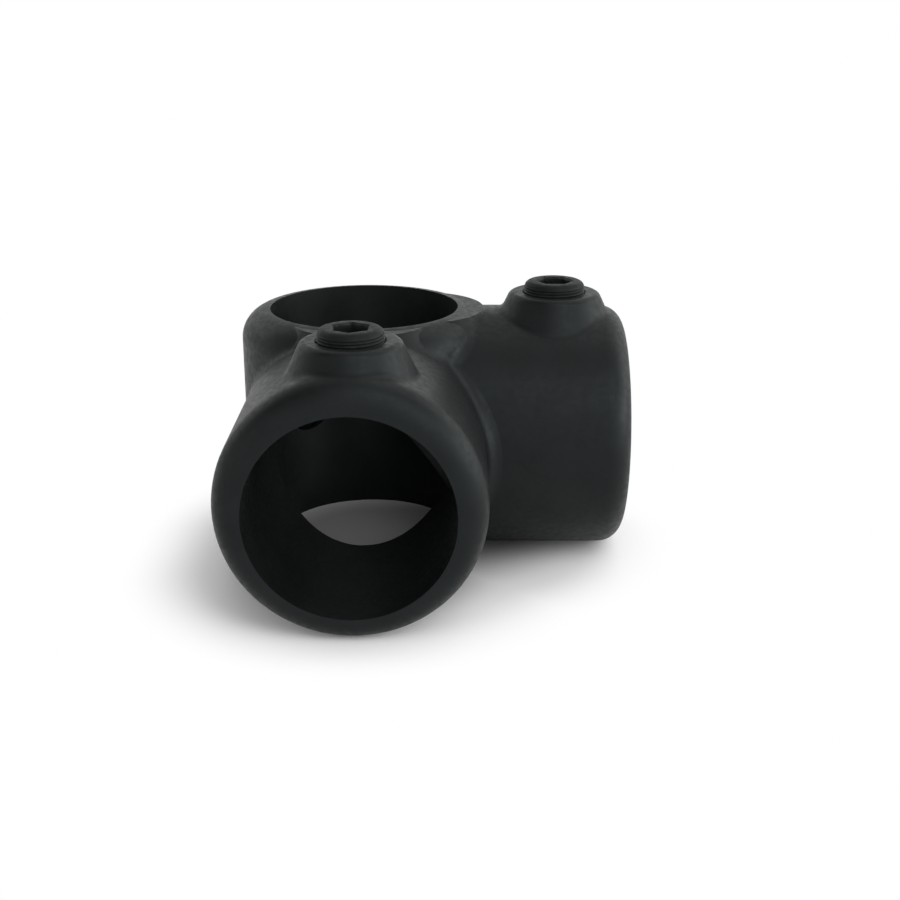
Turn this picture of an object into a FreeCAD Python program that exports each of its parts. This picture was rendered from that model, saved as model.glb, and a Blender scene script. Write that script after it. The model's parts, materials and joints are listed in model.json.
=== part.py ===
"""Corner tube connector: a cast three-way fitting that joins an upright tube to two level tubes.

The upright tube passes right through the collar. A front socket (towards -Y) and a side socket
(towards +X) take the ends of the level tubes. Each way has a boss with a hex-socket set screw.

Frame, in millimetres: the origin is where the axes of the three tube bores cross, +Z is up.
"""
import FreeCAD, Part
import math
import os

import Sketcher
from FreeCAD import Placement, Rotation, Vector

# Driving sizes: alias, value, meaning
SIZES = (
    ("bore_diameter", 49.5, "tube bore of the collar and of both sockets"),
    ("collar_wall", 7.5, "wall of the collar, all round"),
    ("shell_step", 0.25, "how far the socket shells stay inside the collar's radius"),
    ("shell_lift", 0.9, "height of the shells over the bores, for more thread under the screws"),
    ("socket_length", 68.75, "upright axis to the open end of a socket"),
    ("collar_rise", 0.5, "top of the collar over the crown of the sockets"),
    ("collar_drop", 0.2, "base of the collar under the sockets"),
    ("collar_rim_radius", 7.4, "rounding of the collar's two open ends"),
    ("socket_rim_radius", 6.2, "rounding of a socket's open end"),
    ("junction_fillet", 4.0, "casting fillet where collar and sockets meet"),
    ("land_diameter", 36.0, "round land where the collar's top runs on into a socket's crown"),
    ("land_setback", 0.75, "edge of the land inside the collar's radius"),
    ("land_drop", 0.25, "how far the land lies under the collar's top"),
    ("land_depth", 6.0, "depth of the land inside the shell"),
    ("land_taper", 40.0, "slope of the land's flank, degrees from upright"),
    ("boss_height", 4.5, "flat top of a boss over the shell"),
    ("boss_root", 5.8, "depth of the boss cone inside the shell"),
    ("boss_top_diameter", 23.4, "boss across its top, before the edge is rounded"),
    ("boss_taper", 25.0, "slope of the boss flank, degrees from its axis"),
    ("boss_edge_radius", 1.8, "rounding of the boss's top edge"),
    ("boss_foot_fillet", 2.5, "casting fillet around the foot of a boss"),
    ("upright_screw_azimuth", 135.0, "outer corner where the collar's screw sits, degrees from +X"),
    ("screw_setback", 18.63, "open end of a socket to its screw's axis"),
    ("screw_diameter", 15.8, "set screw over its thread crests"),
    ("screw_clearance", 0.05, "radial clearance of the screw in its hole"),
    ("screw_stand", 2.95, "how far the screw stands out of its boss"),
    ("screw_length", 14.6, "set screw from tip to top"),
    ("screw_crown_radius", 1.8, "rounding of the screw's top edge"),
    ("screw_point", 1.6, "chamfer at the screw's tip"),
    ("cup_diameter", 9.0, "mouth of the cup in the screw's tip"),
    ("cup_depth", 2.2, "depth of the cup"),
    ("hex_across_flats", 8.0, "key size of the screw's socket"),
    ("hex_depth", 7.5, "depth of the key socket"),
    ("hex_lead_in", 0.25, "chamfer around the mouth of the key socket"),
    ("hole_chamfer", 0.5, "chamfer at the mouth of a screw hole"),
)

# Sizes that follow from the driving ones, as expressions on the sheet
BORE_RADIUS = "(sizes.bore_diameter / 2)"
COLLAR_RADIUS = f"({BORE_RADIUS} + sizes.collar_wall)"
SOCKET_RADIUS = f"({COLLAR_RADIUS} - sizes.shell_step)"
COLLAR_TOP = f"({SOCKET_RADIUS} + sizes.shell_lift + sizes.collar_rise)"
COLLAR_DEPTH = f"({SOCKET_RADIUS} - sizes.shell_lift + sizes.collar_drop)"
COLLAR_MIDDLE = f"(({COLLAR_TOP} - {COLLAR_DEPTH}) / 2)"
LAND_RADIUS = "(sizes.land_diameter / 2)"
LAND_OFFSET = f"({COLLAR_RADIUS} - sizes.land_setback - {LAND_RADIUS})"
LAND_TOP = f"({COLLAR_TOP} - sizes.land_drop)"
SCREW_OFFSET = "(sizes.socket_length - sizes.screw_setback)"
LEVEL_BOSS_TOP = f"({SOCKET_RADIUS} + sizes.shell_lift + sizes.boss_height)"
UPRIGHT_BOSS_TOP = f"({COLLAR_RADIUS} + sizes.boss_height)"
BOSS_RADIUS = "(sizes.boss_top_diameter / 2)"
BOSS_DEPTH = "(sizes.boss_height + sizes.boss_root)"
SCREW_RADIUS = "(sizes.screw_diameter / 2)"
HOLE_RADIUS = f"({SCREW_RADIUS} + sizes.screw_clearance)"
CUP_RADIUS = "(sizes.cup_diameter / 2)"
HEX_CORNER = "(sizes.hex_across_flats / 2 / cos(30))"
TIP_BELOW_BOSS = "(sizes.screw_length - sizes.screw_stand)"
OUTER_CORNER_X = "cos(sizes.upright_screw_azimuth)"
OUTER_CORNER_Y = "sin(sizes.upright_screw_azimuth)"

# Faces that meet at more than this angle, in degrees, leave a crease
CREASE_ANGLE = 2.0

# Lengths closer than this, in millimetres, are the same
SAME_LENGTH = 0.01

# Where a round outline starts, in degrees from its sketch's first axis: the seam line that runs
# from there keeps clear of the valleys, the bosses, the holes and the view from the front
COLLAR_SEAM_ANGLE = 177
FRONT_SEAM_ANGLE = 200
SIDE_SEAM_ANGLE = -20
BORE_SEAM_ANGLE = 97.5

# How a sketch refers to its own origin and axes
ORIGIN_POINT = (-1, 1)
HORIZONTAL_AXIS_INDEX, VERTICAL_AXIS_INDEX = -1, -2


def make_sheet(doc):
    """Write the driving sizes to the document's sheet, one aliased cell each."""
    sheet = doc.addObject("Spreadsheet::Sheet", "sizes")
    for row, (alias, value, meaning) in enumerate(SIZES, start=1):
        sheet.set(f"A{row}", alias)
        sheet.set(f"B{row}", str(value))
        sheet.setAlias(f"B{row}", alias)
        sheet.set(f"C{row}", meaning)
    doc.recompute()
    return sheet


def add_body(doc, label):
    """An empty body whose label names the finished piece."""
    body = doc.addObject("PartDesign::Body", label)
    body.Label = label
    return body


def add_sketch(body, name, plane, offset=("0", "0", "0"), turn=0.0, spin=0.0):
    """A sketch on one of the body's origin planes, moved and turned in that plane's own axes.

    The offset holds three expressions. The turn, about the plane's second axis, and the spin,
    about its normal, are in degrees.
    """
    sketch = body.newObject("Sketcher::SketchObject", name)
    support = next(item for item in body.Origin.OriginFeatures if item.Role == plane)
    sketch.AttachmentSupport = [(support, "")]
    sketch.MapMode = "FlatFace"
    rotation = Rotation(Vector(0, 1, 0), turn) * Rotation(Vector(0, 0, 1), spin)
    sketch.AttachmentOffset = Placement(Vector(), rotation)
    for axis, expression in zip("xyz", offset):
        if expression != "0":
            sketch.setExpression(f"AttachmentOffset.Base.{axis}", expression)
    return sketch


def bind(sketch, name, expression, *constraint):
    """Add a dimension to a sketch and bind it to an expression on the sheet."""
    value = sketch.evalExpression(expression)
    index = sketch.addConstraint(Sketcher.Constraint(*constraint, value))
    sketch.renameConstraint(index, name)
    sketch.setExpression(f"Constraints.{name}", expression)


def draw_circle(sketch, radius):
    """A circle about the sketch's origin."""
    value = sketch.evalExpression(radius)
    circle = sketch.addGeometry(Part.Circle(Vector(), Vector(0, 0, 1), value))
    sketch.addConstraint(Sketcher.Constraint("Coincident", circle, 3, *ORIGIN_POINT))
    bind(sketch, "radius", radius, "Radius", circle)


def draw_polygon(sketch, corners):
    """A closed outline whose corners are pairs of expressions, none of them negative."""
    values = [tuple(sketch.evalExpression(part) for part in corner) for corner in corners]
    count = len(corners)
    for index, start in enumerate(values):
        end = values[(index + 1) % count]
        sketch.addGeometry(Part.LineSegment(Vector(*start), Vector(*end)))
    for index, (across, up) in enumerate(corners):
        sketch.addConstraint(Sketcher.Constraint("Coincident", (index - 1) % count, 2, index, 1))
        if across == "0":
            sketch.addConstraint(Sketcher.Constraint("PointOnObject", index, 1, VERTICAL_AXIS_INDEX))
        else:
            bind(sketch, f"across_{index}", across, "DistanceX", *ORIGIN_POINT, index, 1)
        if up == "0":
            sketch.addConstraint(Sketcher.Constraint("PointOnObject", index, 1, HORIZONTAL_AXIS_INDEX))
        else:
            bind(sketch, f"up_{index}", up, "DistanceY", *ORIGIN_POINT, index, 1)


def draw_hexagon(sketch, corner_radius):
    """A regular hexagon about the sketch's origin, with corners on its horizontal axis."""
    value = sketch.evalExpression(corner_radius)
    angles = [math.radians(60 * number) for number in range(6)]
    corners = [Vector(value * math.cos(angle), value * math.sin(angle), 0) for angle in angles]
    for index, corner in enumerate(corners):
        sketch.addGeometry(Part.LineSegment(corner, corners[(index + 1) % 6]))
    guide = sketch.addGeometry(Part.Circle(Vector(), Vector(0, 0, 1), value), True)
    sketch.addConstraint(Sketcher.Constraint("Coincident", guide, 3, *ORIGIN_POINT))
    bind(sketch, "corner_radius", corner_radius, "Radius", guide)
    for index in range(6):
        sketch.addConstraint(Sketcher.Constraint("Coincident", (index - 1) % 6, 2, index, 1))
        sketch.addConstraint(Sketcher.Constraint("PointOnObject", index, 1, guide))
        if index:
            sketch.addConstraint(Sketcher.Constraint("Equal", 0, index))
    sketch.addConstraint(Sketcher.Constraint("PointOnObject", 0, 1, HORIZONTAL_AXIS_INDEX))


def add_pad(body, name, sketch, length, reverse=False, back_length=None, taper=None):
    """Extrude a sketch along its normal, with an optional second side or tapered flank."""
    pad = body.newObject("PartDesign::Pad", name)
    pad.Profile = sketch
    pad.Reversed = reverse
    pad.setExpression("Length", length)
    if back_length:
        pad.SideType = "Two sides"
        pad.setExpression("Length2", back_length)
    if taper:
        pad.setExpression("TaperAngle", taper)
    body.Document.recompute()


def add_pocket(body, name, sketch, length=None, reverse=False):
    """Cut a sketch into the body against its normal, to a depth or right through.

    Faces stay as they were cut, so that each half of the collar's bore keeps a wall of its own.
    """
    before = body.Shape.Volume
    pocket = body.newObject("PartDesign::Pocket", name)
    pocket.Profile = sketch
    pocket.Reversed = reverse
    if length:
        pocket.setExpression("Length", length)
    else:
        pocket.Type = "ThroughAll"
    pocket.Refine = False
    body.Document.recompute()
    if body.Shape.Volume >= before:
        raise RuntimeError(f"{name} cuts nothing")


def add_revolution(body, name, sketch):
    """Turn a sketch about its own vertical axis."""
    turned = body.newObject("PartDesign::Revolution", name)
    turned.Profile = sketch
    turned.ReferenceAxis = (sketch, ["V_Axis"])
    turned.Angle = 360
    body.Document.recompute()


def add_edge_work(body, kind, name, edges, size):
    """Round (Fillet) or bevel (Chamfer) the named edges of the body's last feature."""
    work = body.newObject(f"PartDesign::{kind}", name)
    work.Base = (body.Tip if body.Tip != work else work.BaseFeature, edges)
    work.setExpression("Radius" if kind == "Fillet" else "Size", size)
    work.Refine = False
    body.Document.recompute()


def is_crease(shape, edge):
    """True where two faces meet along the edge at an angle, and not smoothly."""
    faces = shape.ancestorsOfType(edge, Part.Face)
    if len(faces) != 2:
        return False
    middle = edge.valueAt((edge.FirstParameter + edge.LastParameter) / 2)
    normals = [face.normalAt(*face.Surface.parameter(middle)) for face in faces]
    return math.degrees(normals[0].getAngle(normals[1])) > CREASE_ANGLE


def is_circle(edge, radius):
    """True where the edge lies on a circle of this radius."""
    return isinstance(edge.Curve, Part.Circle) and abs(edge.Curve.Radius - radius) < SAME_LENGTH


def creases(shape, circle_radius=None, above=None):
    """Names of the shape's creased edges: all, only circles of one radius, or only those above a height."""
    names = []
    for number, edge in enumerate(shape.Edges, start=1):
        if not is_crease(shape, edge) or above is not None and edge.CenterOfMass.z < above:
            continue
        if circle_radius is None or is_circle(edge, circle_radius):
            names.append(f"Edge{number}")
    return names


def make_body(doc, sheet):
    """The casting: collar, two sockets and three bosses, blended, bored and drilled."""
    body = add_body(doc, "clamp_body")

    collar = add_sketch(body, "collar_outline", "XY_Plane", spin=COLLAR_SEAM_ANGLE)
    draw_circle(collar, COLLAR_RADIUS)
    add_pad(body, "collar", collar, COLLAR_TOP, back_length=COLLAR_DEPTH)
    collar_radius = collar.evalExpression(COLLAR_RADIUS)
    add_edge_work(body, "Fillet", "collar_rims", creases(body.Shape, collar_radius), "sizes.collar_rim_radius")

    # The sockets start at the upright axis, so that each runs well into the collar
    for way, plane, seam in (("front", "XZ_Plane", FRONT_SEAM_ANGLE), ("side", "YZ_Plane", SIDE_SEAM_ANGLE)):
        outline = add_sketch(body, f"{way}_socket_outline", plane, ("0", "sizes.shell_lift", "0"), spin=seam)
        draw_circle(outline, SOCKET_RADIUS)
        add_pad(body, f"{way}_socket", outline, "sizes.socket_length")
    socket_radius = collar.evalExpression(SOCKET_RADIUS)
    add_edge_work(body, "Fillet", "socket_rims", creases(body.Shape, socket_radius), "sizes.socket_rim_radius")
    add_edge_work(body, "Fillet", "junctions", creases(body.Shape), "sizes.junction_fillet")

    # Each boss and its hole are drawn on the flat top of the boss, about the screw's axis
    azimuth = sheet.get("upright_screw_azimuth")
    out_x = f"{OUTER_CORNER_X} * {UPRIGHT_BOSS_TOP}"
    out_y = f"{OUTER_CORNER_Y} * {UPRIGHT_BOSS_TOP}"
    seats = (
        ("front", "XY_Plane", ("0", f"-{SCREW_OFFSET}", LEVEL_BOSS_TOP), 0, LEVEL_BOSS_TOP),
        ("side", "XY_Plane", (SCREW_OFFSET, "0", LEVEL_BOSS_TOP), 0, LEVEL_BOSS_TOP),
        ("upright", "YZ_Plane", (out_y, COLLAR_MIDDLE, out_x), azimuth, UPRIGHT_BOSS_TOP),
    )
    for way, plane, offset, turn, _ in seats:
        outline = add_sketch(body, f"{way}_boss_outline", plane, offset, turn)
        draw_circle(outline, BOSS_RADIUS)
        add_pad(body, f"{way}_boss", outline, BOSS_DEPTH, reverse=True, taper="sizes.boss_taper")
    boss_radius = collar.evalExpression(BOSS_RADIUS)
    add_edge_work(body, "Fillet", "boss_edges", creases(body.Shape, boss_radius), "sizes.boss_edge_radius")
    add_edge_work(body, "Fillet", "boss_feet", creases(body.Shape), "sizes.boss_foot_fillet")

    # The collar's top runs on into the crown of each socket as a low land
    lands = (("front", ("0", f"-{LAND_OFFSET}", LAND_TOP)), ("side", (LAND_OFFSET, "0", LAND_TOP)))
    for way, offset in lands:
        outline = add_sketch(body, f"{way}_land_outline", "XY_Plane", offset)
        draw_circle(outline, LAND_RADIUS)
        add_pad(body, f"{way}_land", outline, "sizes.land_depth", reverse=True, taper="sizes.land_taper")

    # Each bore runs from its open end to where the axes cross, so the collar is bored from both ends
    bores = (
        ("upper", "XY_Plane", True, BORE_SEAM_ANGLE),
        ("lower", "XY_Plane", False, BORE_SEAM_ANGLE),
        ("front", "XZ_Plane", True, 0),
        ("side", "YZ_Plane", True, 0),
    )
    for way, plane, reverse, seam in bores:
        outline = add_sketch(body, f"{way}_bore_outline", plane, spin=seam)
        draw_circle(outline, BORE_RADIUS)
        add_pocket(body, f"{way}_bore", outline, reverse=reverse)

    for way, plane, offset, turn, reach in seats:
        outline = add_sketch(body, f"{way}_hole_outline", plane, offset, turn)
        draw_circle(outline, HOLE_RADIUS)
        add_pocket(body, f"{way}_hole", outline, length=reach)
    hole_radius = collar.evalExpression(HOLE_RADIUS)
    add_edge_work(body, "Chamfer", "hole_mouths", creases(body.Shape, hole_radius), "sizes.hole_chamfer")
    return body


def make_screw(doc, label, base, rotation):
    """A hex-socket set screw with a cup point, built upright from its tip and then put in place."""
    body = add_body(doc, label)
    length = "sizes.screw_length"

    outline = add_sketch(body, f"{label}_outline", "XZ_Plane")
    draw_polygon(outline, (
        ("0", "sizes.cup_depth"),
        (CUP_RADIUS, "0"),
        (f"{SCREW_RADIUS} - sizes.screw_point", "0"),
        (SCREW_RADIUS, "sizes.screw_point"),
        (SCREW_RADIUS, length),
        ("0", length),
    ))
    add_revolution(body, f"{label}_shank", outline)
    under_top = outline.evalExpression(length) - SAME_LENGTH
    top_edge = creases(body.Shape, above=under_top)
    add_edge_work(body, "Fillet", f"{label}_crown", top_edge, "sizes.screw_crown_radius")

    key = add_sketch(body, f"{label}_key_outline", "XY_Plane", ("0", "0", length))
    draw_hexagon(key, HEX_CORNER)
    add_pocket(body, f"{label}_key_socket", key, length="sizes.hex_depth")
    mouth = creases(body.Shape, above=under_top)
    add_edge_work(body, "Chamfer", f"{label}_lead_in", mouth, "sizes.hex_lead_in")

    body.Placement = Placement(Vector(), rotation)
    for axis, expression in zip("xyz", base):
        body.setExpression(f"Placement.Base.{axis}", expression)
    doc.recompute()
    return body


def make_screws(doc, sheet):
    """One set screw for each way, standing a little out of its boss."""
    level = Rotation()
    outward = Rotation(Vector(0, 0, 1), sheet.get("upright_screw_azimuth")) * Rotation(Vector(0, 1, 0), 90)
    level_tip = f"{LEVEL_BOSS_TOP} - {TIP_BELOW_BOSS}"
    upright_tip = f"({UPRIGHT_BOSS_TOP} - {TIP_BELOW_BOSS})"
    corner = (f"{OUTER_CORNER_X} * {upright_tip}", f"{OUTER_CORNER_Y} * {upright_tip}", COLLAR_MIDDLE)
    return [
        make_screw(doc, "front_set_screw", ("0", f"-{SCREW_OFFSET}", level_tip), level),
        make_screw(doc, "side_set_screw", (SCREW_OFFSET, "0", level_tip), level),
        make_screw(doc, "upright_set_screw", corner, outward),
    ]


def check(doc, pieces):
    """Stop if a feature failed or a piece isn't one valid solid."""
    doc.recompute()
    for item in doc.Objects:
        if "Invalid" in item.State or "Error" in item.State:
            raise RuntimeError(f"{item.Label}: {item.State}")
    for piece in pieces:
        shape = piece.Shape
        if shape.isNull() or not shape.isValid() or len(shape.Solids) != 1:
            raise RuntimeError(f"{piece.Label} isn't one valid solid")


def main():
    """Build the document and write each piece to its own file."""
    doc = FreeCAD.newDocument("corner_tube_connector")
    sheet = make_sheet(doc)
    pieces = [make_body(doc, sheet), *make_screws(doc, sheet)]
    check(doc, pieces)
    os.makedirs("parts", exist_ok=True)
    for piece in pieces:
        piece.Shape.exportStep(f"parts/{piece.Label}.step")
        print(piece.Label, round(piece.Shape.Volume, 1), "mm3")


main()
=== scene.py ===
"""Looks of the corner tube connector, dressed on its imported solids.

The casting keeps its own solid and gets a matt black coat. Each set screw is a new mesh with a real
fine thread, a rounded crown and a hex key socket, in the place of its plain solid. Lengths are in
metres, in the part's own frame: the origin is where the axes of the three tube bores cross.
"""

import json
import logging
import math
from dataclasses import dataclass
from enum import Enum
from typing import Any, ClassVar

import bmesh
import bpy
import numpy as np
from mathutils import Euler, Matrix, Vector

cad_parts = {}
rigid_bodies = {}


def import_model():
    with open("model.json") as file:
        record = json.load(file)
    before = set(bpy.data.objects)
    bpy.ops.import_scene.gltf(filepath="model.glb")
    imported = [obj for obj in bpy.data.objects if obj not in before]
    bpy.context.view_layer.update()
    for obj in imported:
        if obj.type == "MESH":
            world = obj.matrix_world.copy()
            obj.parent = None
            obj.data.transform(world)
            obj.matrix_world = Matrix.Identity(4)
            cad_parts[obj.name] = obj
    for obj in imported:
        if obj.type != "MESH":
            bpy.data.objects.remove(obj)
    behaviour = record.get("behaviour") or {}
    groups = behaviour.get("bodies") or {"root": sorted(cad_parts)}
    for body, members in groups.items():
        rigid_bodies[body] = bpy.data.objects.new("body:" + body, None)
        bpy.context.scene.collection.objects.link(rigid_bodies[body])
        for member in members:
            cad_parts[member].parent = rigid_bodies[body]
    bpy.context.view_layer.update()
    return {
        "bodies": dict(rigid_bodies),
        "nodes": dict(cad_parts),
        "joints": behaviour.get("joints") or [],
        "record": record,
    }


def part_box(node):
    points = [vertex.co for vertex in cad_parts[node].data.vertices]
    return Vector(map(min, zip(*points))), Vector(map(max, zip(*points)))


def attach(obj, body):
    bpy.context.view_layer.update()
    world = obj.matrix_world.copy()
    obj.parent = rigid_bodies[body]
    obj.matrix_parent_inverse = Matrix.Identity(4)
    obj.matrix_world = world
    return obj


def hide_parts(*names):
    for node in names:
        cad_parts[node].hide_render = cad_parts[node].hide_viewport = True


MM = 0.001
PICTURE_SIDE = 900
SENSOR_WIDTH = 36.0

Colour = tuple[float, float, float]
Span = tuple[float, float]
Frame = dict[str, Any]

FULL: Span = (0.0, 1.0)

log = logging.getLogger("corner_tube_connector")


class Way(Enum):
    """The three ways of the connector, each clamped by a set screw of its own."""

    FRONT = "front"
    SIDE = "side"
    UPRIGHT = "upright"

    @property
    def node(self) -> str:
        """Name of the way's plain screw solid."""
        return f"{self.value}_set_screw"

    @property
    def body(self) -> str:
        """Name of the body that the way's screw moves with."""
        return f"{self.value}_screw"

    @property
    def joint(self) -> str:
        """Name of the joint that moves the way's screw."""
        return f"{self.value}_screw_travel"

    @property
    def key_turn(self) -> float:
        """How far the way's screw has been turned by its key, in degrees."""
        return {Way.FRONT: 30.0, Way.SIDE: 0.0, Way.UPRIGHT: 15.0}[self]


class Shader:
    """A material's node tree, with short ways to add and join what a finish needs."""

    def __init__(self, name: str) -> None:
        """Start an empty material.

        Args:
            name: the material's name.
        """
        self.material = bpy.data.materials.new(name)
        self.material.use_nodes = True
        self.tree = self.material.node_tree
        self.tree.nodes.clear()
        self.output = self.add("ShaderNodeOutputMaterial")
        self.place = self.add("ShaderNodeTexCoord").outputs["Object"]

    def add(self, kind: str, **settings: object) -> bpy.types.Node:
        """Add a node.

        Args:
            kind: Blender's name of the node's type.
            settings: properties of the node itself.

        Returns:
            The new node.
        """
        node = self.tree.nodes.new(kind)
        for name, value in settings.items():
            setattr(node, name, value)
        return node

    def feed(self, socket: bpy.types.NodeSocket, value: object) -> None:
        """Join another node's output to a socket, or set the socket's own value.

        Args:
            socket: the input to feed.
            value: an output socket, a number or a colour.
        """
        if isinstance(value, bpy.types.NodeSocket):
            self.tree.links.new(value, socket)
        elif isinstance(value, tuple):
            socket.default_value = (*value, 1.0) if len(value) == 3 and socket.type == "RGBA" else value
        else:
            socket.default_value = value

    def noise(self, size: float, detail: float = 2.0, roughness: float = 0.5) -> bpy.types.NodeSocket:
        """Soft random mottle.

        Args:
            size: length of one blotch.
            detail: number of finer layers.
            roughness: strength of the finer layers.

        Returns:
            A value from 0 to 1.
        """
        node = self.add("ShaderNodeTexNoise")
        self.feed(node.inputs["Vector"], self.place)
        self.feed(node.inputs["Scale"], 1.0 / size)
        self.feed(node.inputs["Detail"], detail)
        self.feed(node.inputs["Roughness"], roughness)
        return node.outputs["Fac"]

    def math(self, operation: str, first: object, second: object = 0.0) -> bpy.types.NodeSocket:
        """Work out one sum on values that vary over the surface.

        Args:
            operation: Blender's name of the sum.
            first: its first value.
            second: its second value, where it has one.

        Returns:
            The result.
        """
        node = self.add("ShaderNodeMath", operation=operation)
        self.feed(node.inputs[0], first)
        self.feed(node.inputs[1], second)
        return node.outputs[0]

    def spread(self, value: object, source: Span, target: Span) -> bpy.types.NodeSocket:
        """Stretch a range of values smoothly over another range, and clamp it there.

        Args:
            value: what to stretch.
            source: the range that it comes from.
            target: the range that it goes to.

        Returns:
            The stretched value.
        """
        node = self.add("ShaderNodeMapRange", interpolation_type="SMOOTHSTEP")
        for socket, item in zip(node.inputs, (value, *source, *target)):
            self.feed(socket, item)
        return node.outputs["Result"]

    def tint(self, share: object, low: object, high: object) -> bpy.types.NodeSocket:
        """Blend two colours.

        Args:
            share: 0 for the first colour, 1 for the second.
            low: the first colour.
            high: the second colour.

        Returns:
            The blended colour.
        """
        # A mix node lists its colours after its numbers and vectors, under the same names.
        first, second, result = 6, 7, 2
        node = self.add("ShaderNodeMix", data_type="RGBA")
        self.feed(node.inputs["Factor"], share)
        self.feed(node.inputs[first], low)
        self.feed(node.inputs[second], high)
        return node.outputs[result]

    def bump(self, height: object, depth: float, under: object = None) -> bpy.types.NodeSocket:
        """Turn a height into relief.

        Args:
            height: value from 0 to 1 over the surface.
            depth: real height of the relief.
            under: normal of the coarser relief that this one lies on.

        Returns:
            The bent normal.
        """
        node = self.add("ShaderNodeBump")
        self.feed(node.inputs["Height"], height)
        self.feed(node.inputs["Distance"], depth)
        if under is not None:
            self.feed(node.inputs["Normal"], under)
        return node.outputs["Normal"]

    def surface(self, **sockets: object) -> bpy.types.Material:
        """Close the tree with one principled surface.

        Args:
            sockets: its inputs, with an underscore for each space in their names.

        Returns:
            The finished material.
        """
        node = self.add("ShaderNodeBsdfPrincipled")
        for name, value in sockets.items():
            self.feed(node.inputs[name.replace("_", " ")], value)
        self.tree.links.new(node.outputs["BSDF"], self.output.inputs["Surface"])
        return self.material


@dataclass(frozen=True)
class CastCoat:
    """Matt black coat on sand-cast iron: soft swell of the casting, orange peel and fine grain."""

    deep: Colour = (0.0042, 0.0050, 0.0051)
    pale: Colour = (0.0056, 0.0066, 0.0068)
    gloss: float = 0.20
    gloss_tint: Colour = (0.90, 0.99, 1.0)
    swell_size: float = 9.0 * MM
    swell_depth: float = 0.05 * MM
    peel_size: float = 1.5 * MM
    peel_depth: float = 0.016 * MM
    grain_size: float = 0.32 * MM
    grain_depth: float = 0.006 * MM
    sheen_span: Span = (0.42, 0.52)
    mottle_span: Span = (0.35, 0.65)

    def material(self) -> bpy.types.Material:
        """The coat as a material."""
        shader = Shader("black_coat")
        swell = shader.noise(self.swell_size)
        peel = shader.noise(self.peel_size)
        grain = shader.noise(self.grain_size, detail=3.0)
        relief = shader.bump(swell, self.swell_depth)
        relief = shader.bump(peel, self.peel_depth, relief)
        relief = shader.bump(grain, self.grain_depth, relief)
        mottle = shader.spread(swell, self.mottle_span, FULL)
        return shader.surface(
            Base_Color=shader.tint(mottle, self.deep, self.pale),
            Roughness=shader.spread(peel, self.mottle_span, self.sheen_span),
            Specular_IOR_Level=self.gloss,
            Specular_Tint=self.gloss_tint,
            Normal=relief,
        )


@dataclass(frozen=True)
class BlackenedSteel:
    """Blackened, lightly oiled steel with brighter thread crests: rubbed wear and a painted highlight.
    """

    deep: Colour = (0.0080, 0.0091, 0.0091)
    # Brighter colour for the thread crests and the key mouth: rubbed wear, and on the crests also a
    # painted highlight for their glint.
    wear_and_glint: Colour = (0.0350, 0.0364, 0.0368)
    gloss: float = 0.12
    gloss_tint: Colour = (0.90, 0.99, 1.0)
    mottle_size: float = 1.2 * MM
    grain_size: float = 0.12 * MM
    grain_depth: float = 0.004 * MM
    sheen_span: Span = (0.48, 0.60)
    mottle_span: Span = (0.35, 0.65)
    crest_share: float = 0.6

    def material(self) -> bpy.types.Material:
        """The steel as a material, which reads each screw's own record of its thread crests."""
        shader = Shader("blackened_steel")
        mottle = shader.noise(self.mottle_size)
        grain = shader.noise(self.grain_size)
        crest = shader.add("ShaderNodeAttribute", attribute_name=SetScrew.CREST).outputs["Fac"]
        # The brighter colour goes on the thread crests, partly as rubbed wear and partly as a painted
        # highlight for their glint. It goes on the key socket's mouth as wear.
        wear_and_glint = shader.spread(mottle, self.mottle_span, (0.0, self.crest_share))
        wear_and_glint_share = shader.math("MULTIPLY", crest, wear_and_glint)
        return shader.surface(
            Base_Color=shader.tint(wear_and_glint_share, self.deep, self.wear_and_glint),
            Roughness=shader.spread(mottle, self.mottle_span, self.sheen_span),
            Specular_IOR_Level=self.gloss,
            Specular_Tint=self.gloss_tint,
            Normal=shader.bump(grain, self.grain_depth),
        )


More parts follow.
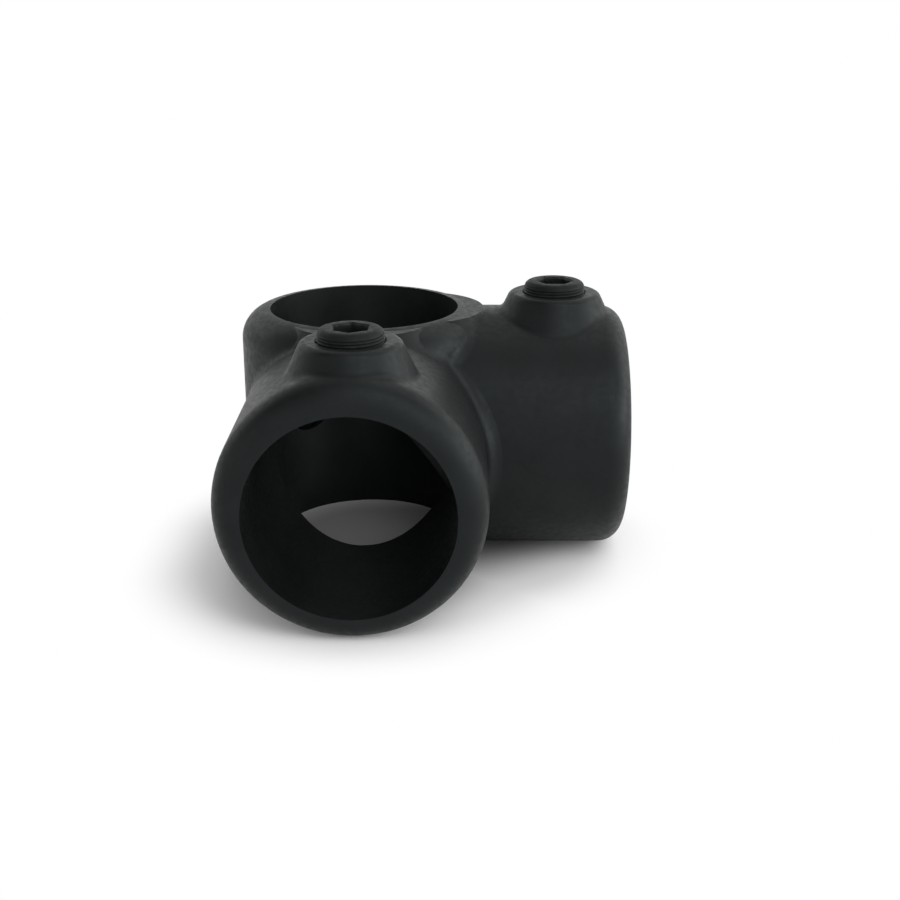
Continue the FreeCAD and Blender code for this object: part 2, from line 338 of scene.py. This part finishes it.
@dataclass(frozen=True)
class StudioPaper:
    """White paper under the part: it keeps the shadow near the part and is plain white further off.

    How near a place is to the part is its distance from two short lines, which run from the middle of
    the collar into the sockets. Over the span rise the paper goes from a painted shade under the part,
    a darker tone that deepens its shadow there, to its open tone, and over the span fade to plain white.
    """

    colour: Colour = (0.66, 0.66, 0.66)
    # Painted shade: darker seen tone of the paper under the part.
    painted_shade_colour: Colour = (0.30, 0.30, 0.30)
    seen_colour: Colour = (1.0, 1.0, 1.0)
    line: float = 22.0 * MM
    rise: Span = (15.0 * MM, 40.0 * MM)
    fade: Span = (40.0 * MM, 64.0 * MM)
    white: float = 1.0

    def distance(self, shader: Shader, low: Vector, high: Vector) -> bpy.types.NodeSocket:
        """Distance from a line that runs along an axis.

        Args:
            shader: the paper's node tree.
            low: the line's lower end.
            high: the line's upper end.

        Returns:
            The distance.
        """
        nearest = shader.place
        for operation, end in (("MAXIMUM", low), ("MINIMUM", high)):
            clamp = shader.add("ShaderNodeVectorMath", operation=operation)
            shader.feed(clamp.inputs[0], nearest)
            shader.feed(clamp.inputs[1], tuple(end))
            nearest = clamp.outputs["Vector"]
        gap = shader.add("ShaderNodeVectorMath", operation="DISTANCE")
        shader.feed(gap.inputs[0], shader.place)
        shader.feed(gap.inputs[1], nearest)
        return gap.outputs["Value"]

    def material(self) -> bpy.types.Material:
        """The paper as a material, with its own tone for what is seen straight or in a reflection."""
        shader = Shader("white_paper")
        light = shader.add("ShaderNodeLightPath").outputs
        seen = shader.math("MAXIMUM", light["Is Camera Ray"], light["Is Glossy Ray"])
        seen = shader.math("MAXIMUM", seen, light["Is Transmission Ray"])
        side = self.distance(shader, Vector((0.0, 0.0, 0.0)), Vector((self.line, 0.0, 0.0)))
        front = self.distance(shader, Vector((0.0, -self.line, 0.0)), Vector((0.0, 0.0, 0.0)))
        away = shader.math("MINIMUM", side, front)
        # Painted shade: near the part the seen tone drops to a darker one, which deepens the shadow
        # under the part and inside the collar.
        tone = shader.tint(shader.spread(away, self.rise, FULL), self.painted_shade_colour, self.seen_colour)
        lit = shader.add("ShaderNodeBsdfDiffuse")
        shader.feed(lit.inputs["Color"], shader.tint(seen, self.colour, tone))
        glow = shader.add("ShaderNodeEmission")
        shader.feed(glow.inputs["Strength"], self.white)
        mix = shader.add("ShaderNodeMixShader")
        far = shader.spread(away, self.fade, FULL)
        shader.feed(mix.inputs["Fac"], shader.math("MULTIPLY", seen, far))
        shader.feed(mix.inputs[1], lit.outputs["BSDF"])
        shader.feed(mix.inputs[2], glow.outputs["Emission"])
        shader.feed(shader.output.inputs["Surface"], mix.outputs["Shader"])
        return shader.material


@dataclass(frozen=True)
class ScrewSeat:
    """Where a set screw sits, read from its plain solid: its tip, its axes and its outer sizes."""

    STEEPEST_LEVEL: ClassVar[float] = 0.5

    tip: Vector
    across: Vector
    along: Vector
    outward: Vector
    length: float
    radius: float

    @classmethod
    def of(cls, way: Way, frame: Frame) -> "ScrewSeat":
        """Measure a way's screw.

        Args:
            way: the way whose screw is measured.
            frame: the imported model.

        Returns:
            The screw's seat.
        """
        joint = next(item for item in frame["joints"] if item["name"] == way.joint)
        outward = -Vector(joint["axis"]).normalized()
        level = abs(outward.z) < cls.STEEPEST_LEVEL
        across = Vector((0.0, 0.0, 1.0)) if level else Vector((1.0, 0.0, 0.0))
        along = outward.cross(across)
        points = np.array([vertex.co for vertex in frame["nodes"][way.node].data.vertices])
        lows = [(points @ np.array(axis)).min() for axis in (across, along, outward)]
        highs = [(points @ np.array(axis)).max() for axis in (across, along, outward)]
        tip = across * (lows[0] + highs[0]) / 2 + along * (lows[1] + highs[1]) / 2 + outward * lows[2]
        return cls(tip, across, along, outward, highs[2] - lows[2], (highs[0] - lows[0]) / 2)


@dataclass
class SetScrew:
    """A set screw with a fine thread, a rounded crown, a hex key socket and a cup point.

    Its mesh is a net of rings about the axis, all with the same columns: from the middle of the cup
    out to the tip, up the thread, over the crown, and down the key socket to the middle of its floor.
    """

    CREST: ClassVar[str] = "thread_crest"

    way: Way
    seat: ScrewSeat
    columns: int = 144
    pitch: float = 0.75 * MM
    rows_per_pitch: int = 12
    thread_depth: float = 0.25 * MM
    crest_land: float = 0.10
    root_land: float = 0.08
    crown_radius: float = 1.8 * MM
    point_bevel: float = 1.6 * MM
    cup_radius: float = 4.5 * MM
    cup_depth: float = 2.2 * MM
    key_sides: int = 6
    key_flats: float = 8.0 * MM
    key_depth: float = 7.5 * MM
    key_lead_in: float = 0.45 * MM
    key_wear: float = 0.8
    key_wear_reach: float = 1.35 * MM

    def thread(self, heights: np.ndarray, turns: np.ndarray) -> tuple[np.ndarray, np.ndarray]:
        """Shape of the thread, before the crown and the point cut it off.

        Args:
            heights: heights over the tip.
            turns: places round the axis, in whole turns.

        Returns:
            The radius at each place, and how near it is to a crest, from 0 to 1.
        """
        from_crest = np.abs((heights / self.pitch - turns + 0.5) % 1.0 - 0.5)
        flank = 0.5 - self.root_land - self.crest_land
        rise = np.clip((0.5 - self.root_land - from_crest) / flank, 0.0, 1.0)
        rise = rise * rise * (3.0 - 2.0 * rise)
        return self.seat.radius - self.thread_depth * (1.0 - rise), rise

    def rings(self) -> tuple[list[np.ndarray], list[np.ndarray], dict[str, int]]:
        """Radius and height of every ring, column by column.

        Returns:
            The rings as arrays of (radius, height), how far each gets the brighter paint (wear, and on
            the thread crests also a painted highlight), and the numbers of the rings that have a name.
        """
        top, radius = self.seat.length, self.seat.radius
        turns = np.arange(self.columns) / self.columns
        full = np.ones(self.columns)
        side = 1.0 / self.key_sides
        from_corner = (turns + self.way.key_turn / 360.0) % side
        hexagon = 1.0 / np.cos((from_corner - side / 2) * 2 * math.pi)
        key_wall = self.key_flats / 2 * hexagon
        key_mouth = (self.key_flats / 2 + self.key_lead_in) * hexagon

        rings = [(self.cup_radius * full, 0.0 * full), ((radius - self.point_bevel) * full, 0.0 * full)]
        crests = [0.0 * full, 0.0 * full]
        count = round(top / self.pitch * self.rows_per_pitch)
        for height in np.linspace(0.0, top, count + 1)[1:]:
            below = top - height
            arc = max(self.crown_radius - below, 0.0)
            crown = radius - self.crown_radius + math.sqrt(max(self.crown_radius**2 - arc**2, 0.0))
            limit = min(radius - self.point_bevel + height, crown)
            thread, crest = self.thread(height * full, turns)
            rings.append((np.minimum(thread, limit), height * full))
            # Crest marks carry the brighter paint: partly rubbed wear, partly a painted highlight.
            crests.append(np.where(thread < limit, crest, 0.0))
        marks = {"cup": 0, "point": 1}
        for name, edge, depth, wear_and_glint_share in (
            ("face", key_mouth + self.key_lead_in, 0.0, 0.0),
            ("mouth", key_mouth, 0.0, self.key_wear),
            ("lead_in", key_wall, self.key_lead_in, self.key_wear),
            ("wall", key_wall, self.key_wear_reach, 0.0),
            ("floor", key_wall, self.key_depth, 0.0),
        ):
            marks[name] = len(rings)
            rings.append((edge, (top - depth) * full))
            crests.append(wear_and_glint_share * full)
        return rings, crests, marks

    def build(self) -> bpy.types.Object:
        """Make the screw's mesh in its seat.

        Returns:
            The new piece.
        """
        rings, crests, marks = self.rings()
        angles = np.arange(self.columns) / self.columns * 2 * math.pi
        across, along, outward, tip = (
            np.array(v) for v in (self.seat.across, self.seat.along, self.seat.outward, self.seat.tip)
        )
        spokes = np.cos(angles)[:, None] * across + np.sin(angles)[:, None] * along
        points = [tip + radius[:, None] * spokes + height[:, None] * outward for radius, height in rings]
        ends = [tip + self.cup_depth * outward, tip + (self.seat.length - self.key_depth) * outward]
        vertices = np.concatenate([*points, np.array(ends)])

        column = np.arange(self.columns)
        after = (column + 1) % self.columns
        faces = []
        for ring in range(len(rings) - 1):
            low, high = ring * self.columns, (ring + 1) * self.columns
            faces += np.stack([low + column, low + after, high + after, high + column], 1).tolist()
        cup, floor = len(vertices) - 2, len(vertices) - 1
        last = (len(rings) - 1) * self.columns
        faces += [[cup, int(b), int(a)] for a, b in zip(column, after)]
        faces += [[last + int(a), last + int(b), floor] for a, b in zip(column, after)]

        mesh = bpy.data.meshes.new(self.way.node)
        mesh.from_pydata(vertices.tolist(), [], faces)
        mesh.attributes.new(self.CREST, "FLOAT", "POINT").data.foreach_set(
            "value", np.concatenate([*crests, np.zeros(2)]).astype(np.float32)
        )
        self.sharpen(mesh, marks)
        piece = bpy.data.objects.new(f"{self.way.value}_threaded_screw", mesh)
        bpy.context.scene.collection.objects.link(piece)
        return piece

    def sharpen(self, mesh: bpy.types.Mesh, marks: dict[str, int]) -> None:
        """Shade the mesh smoothly, apart from the edges of the point and of the key socket.

        Args:
            mesh: the screw's mesh.
            marks: numbers of the rings that have a name.
        """
        net = bmesh.new()
        net.from_mesh(mesh)
        key_corner = self.columns // self.key_sides
        turned = round(self.way.key_turn / 360.0 * self.columns)
        sharp_rings = {marks[name] for name in ("cup", "point", "mouth", "lead_in", "floor")}
        key_rings = set(range(marks["mouth"], marks["floor"] + 1))
        for face in net.faces:
            face.smooth = True
        for edge in net.edges:
            rows = {vertex.index // self.columns for vertex in edge.verts}
            corners = {(vertex.index % self.columns + turned) % key_corner for vertex in edge.verts}
            if len(rows) == 1:
                edge.smooth = not rows <= sharp_rings
            elif rows <= key_rings:
                edge.smooth = corners != {0}
        bmesh.ops.recalc_face_normals(net, faces=net.faces)
        net.to_mesh(mesh)
        net.free()

    def dress(self, piece: bpy.types.Object, steel: bpy.types.Material) -> None:
        """Give the screw its finish and its place in the part.

        Args:
            piece: the screw.
            steel: its finish.
        """
        piece.data.materials.append(steel)
        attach(piece, self.way.body)
        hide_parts(self.way.node)


@dataclass
class Casting:
    """The one-piece casting, shown as its own solid."""

    node: str = "clamp_body"

    def dress(self, frame: Frame, coat: bpy.types.Material) -> bpy.types.Object:
        """Give the casting its coat.

        Args:
            frame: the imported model.
            coat: the finish.

        Returns:
            The casting.
        """
        piece = frame["nodes"][self.node]
        piece.material_slots[0].link = "OBJECT"
        piece.material_slots[0].material = coat
        return piece

    def base(self) -> float:
        """Height of the surface that the casting stands on."""
        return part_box(self.node)[0].z


@dataclass(frozen=True)
class SoftLight:
    """A broad soft light in the room's wall or ceiling, seen from the part."""

    azimuth: float
    elevation: float
    strength: float

    @property
    def way(self) -> Vector:
        """Direction from the part to the middle of the light."""
        rise = math.radians(self.elevation)
        turn = math.radians(self.azimuth)
        level = math.cos(rise)
        return Vector((level * math.cos(turn), level * math.sin(turn), math.sin(rise)))


@dataclass
class Studio:
    """White paper in a room of broad soft lights all round, strongest at the right and in front."""

    floor_height: float
    floor_half: float = 8.0
    spread: float = 20.0
    lights: tuple[SoftLight, ...] = (
        SoftLight(azimuth=0.0, elevation=6.0, strength=4.8),
        SoftLight(azimuth=48.0, elevation=6.0, strength=0.9),
        SoftLight(azimuth=72.0, elevation=6.0, strength=0.65),
        SoftLight(azimuth=96.0, elevation=6.0, strength=1.2),
        SoftLight(azimuth=120.0, elevation=6.0, strength=0.6),
        SoftLight(azimuth=168.0, elevation=6.0, strength=0.9),
        SoftLight(azimuth=204.0, elevation=6.0, strength=0.9),
        SoftLight(azimuth=240.0, elevation=6.0, strength=1.0),
        SoftLight(azimuth=288.0, elevation=6.0, strength=2.0),
        SoftLight(azimuth=312.0, elevation=6.0, strength=0.8),
        SoftLight(azimuth=336.0, elevation=6.0, strength=4.6),
        SoftLight(azimuth=24.0, elevation=24.0, strength=2.3),
        SoftLight(azimuth=72.0, elevation=24.0, strength=0.8),
        SoftLight(azimuth=144.0, elevation=24.0, strength=1.7),
        SoftLight(azimuth=216.0, elevation=24.0, strength=0.9),
        SoftLight(azimuth=264.0, elevation=24.0, strength=0.6),
        SoftLight(azimuth=30.0, elevation=44.0, strength=1.2),
        SoftLight(azimuth=120.0, elevation=44.0, strength=0.8),
        SoftLight(azimuth=300.0, elevation=44.0, strength=3.7),
        SoftLight(azimuth=60.0, elevation=66.0, strength=1.9),
        SoftLight(azimuth=270.0, elevation=66.0, strength=1.0),
    )

    def lay_paper(self, paper: bpy.types.Material) -> None:
        """Lay the white paper under the part.

        Args:
            paper: its finish.
        """
        half = self.floor_half
        corners = [(-half, -half, 0.0), (half, -half, 0.0), (half, half, 0.0), (-half, half, 0.0)]
        mesh = bpy.data.meshes.new("paper")
        mesh.from_pydata(corners, [], [(0, 1, 2, 3)])
        mesh.materials.append(paper)
        floor = bpy.data.objects.new("paper", mesh)
        floor.location.z = self.floor_height
        bpy.context.scene.collection.objects.link(floor)

    def light_room(self) -> None:
        """Fill the room with its soft lights, each brightest at its middle and fading away from it."""
        world = bpy.data.worlds.new("studio")
        world.use_nodes = True
        bpy.context.scene.world = world
        nodes, links = world.node_tree.nodes, world.node_tree.links
        nodes.clear()
        ray = nodes.new("ShaderNodeTexCoord").outputs["Generated"]
        total = None
        for light in self.lights:
            facing = nodes.new("ShaderNodeVectorMath")
            facing.operation = "DOT_PRODUCT"
            facing.inputs[1].default_value = light.way
            links.new(ray, facing.inputs[0])
            value = facing.outputs["Value"]
            steps = (("MAXIMUM", 0.0), ("POWER", self.spread), ("MULTIPLY", light.strength))
            for operation, number in steps:
                step = nodes.new("ShaderNodeMath")
                step.operation = operation
                step.inputs[1].default_value = number
                links.new(value, step.inputs[0])
                value = step.outputs[0]
            if total is not None:
                add = nodes.new("ShaderNodeMath")
                links.new(total, add.inputs[0])
                links.new(value, add.inputs[1])
                value = add.outputs[0]
            total = value
        room = nodes.new("ShaderNodeBackground")
        room.inputs["Color"].default_value = (1.0, 1.0, 1.0, 1.0)
        links.new(total, room.inputs["Strength"])
        links.new(room.outputs["Background"], nodes.new("ShaderNodeOutputWorld").inputs["Surface"])

    def build(self, paper: bpy.types.Material) -> None:
        """Set up the whole studio.

        Args:
            paper: finish of the floor.
        """
        self.lay_paper(paper)
        self.light_room()


@dataclass(frozen=True)
class Viewpoint:
    """The camera, as the reference picture was taken."""

    place: tuple[float, float, float] = (0.023718, -0.358457, 0.11878)
    tilt_down: float = math.radians(19.334)
    turn_left: float = math.radians(0.167)
    focal_pixels: float = 1384.846
    clip_start: float = 0.01

    def build(self) -> None:
        """Make the camera and look through it."""
        camera = bpy.data.cameras.new("viewpoint")
        camera.sensor_width = SENSOR_WIDTH
        camera.lens = SENSOR_WIDTH * self.focal_pixels / PICTURE_SIDE
        camera.clip_start = self.clip_start
        holder = bpy.data.objects.new("viewpoint", camera)
        holder.location = self.place
        holder.rotation_euler = Euler((math.pi / 2 - self.tilt_down, 0.0, self.turn_left))
        bpy.context.scene.collection.objects.link(holder)
        bpy.context.scene.camera = holder


def main() -> None:
    """Dress the casting, build the screws, and set up the studio and the camera."""
    logging.basicConfig(level=logging.INFO, format="%(name)s: %(message)s")
    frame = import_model()
    bpy.context.scene.view_settings.view_transform = "Standard"

    casting = Casting()
    log.info("dressed %s", casting.dress(frame, CastCoat().material()).name)
    steel = BlackenedSteel().material()
    for way in Way:
        screw = SetScrew(way, ScrewSeat.of(way, frame))
        piece = screw.build()
        screw.dress(piece, steel)
        log.info("built %s with %d faces", piece.name, len(piece.data.polygons))

    Studio(casting.base()).build(StudioPaper().material())
    Viewpoint().build()


if __name__ == "__main__":
    main()
